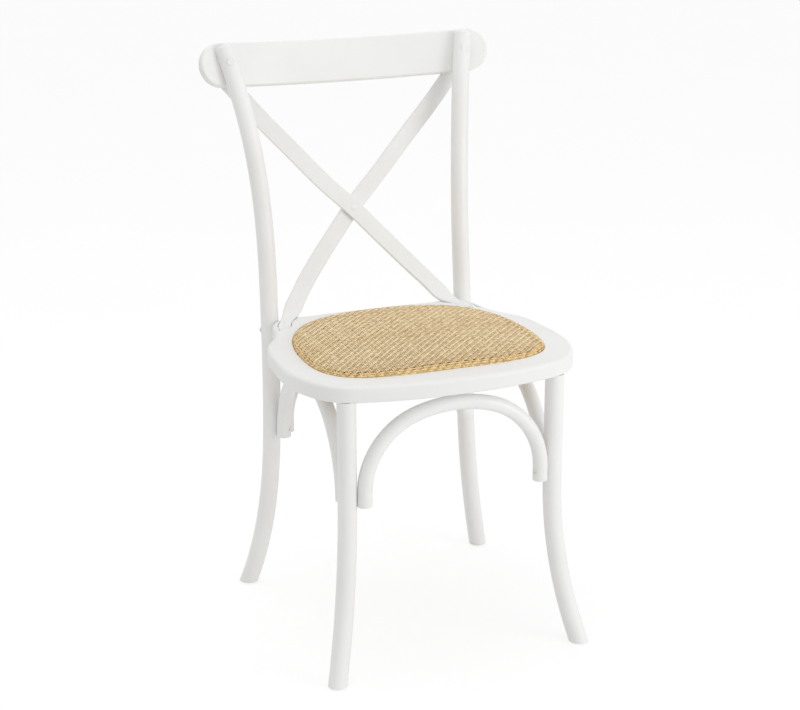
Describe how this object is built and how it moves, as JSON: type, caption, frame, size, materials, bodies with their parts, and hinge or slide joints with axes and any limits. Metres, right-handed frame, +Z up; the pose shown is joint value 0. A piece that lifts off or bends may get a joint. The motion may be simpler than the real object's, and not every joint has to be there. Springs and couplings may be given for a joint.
{
  "type": "cross back dining chair",
  "caption": "Bentwood dining chair with round splayed legs, a curved top rail, crossed back slats, arched braces under the seat and a woven rattan seat pad.",
  "frame": {"origin": "on the floor, at the middle of the chair's overall width and depth", "axes": "+Z up, -Y towards the front of the seat, X across the chair"},
  "size_m": [0.483, 0.5321, 0.8746],
  "materials": {
    "painted_wood": "white satin paint over wood",
    "plywood": "plain plywood",
    "foam": "soft seat filling, hidden",
    "rattan": "woven natural rattan, matt",
    "painted_screw": "white satin paint over steel",
    "steel": "plain steel",
    "glide": "matt plastic"
  },
  "bodies": {
    "root": {"left_front_leg": "painted_wood", "right_front_leg": "painted_wood", "left_back_post": "painted_wood", "right_back_post": "painted_wood", "top_rail": "painted_wood", "cross_slat_front": "painted_wood", "cross_slat_back": "painted_wood", "seat_frame": "painted_wood", "front_arch": "painted_wood", "rear_arch": "painted_wood", "left_side_arch": "painted_wood", "right_side_arch": "painted_wood", "rail_plugs": "painted_wood", "seat_panel": "plywood", "seat_foam": "foam", "seat_cover": "rattan", "foot_glides": "glide", "arch_screws": "painted_screw", "slat_head_screws": "painted_screw", "slat_foot_screws": "painted_screw", "cross_bolt": "painted_screw", "cross_nut": "painted_screw", "post_bolts": "painted_screw", "rail_screws": "steel", "post_barrel_nuts": "steel", "panel_screws": "steel"}
  },
  "joints": []
}
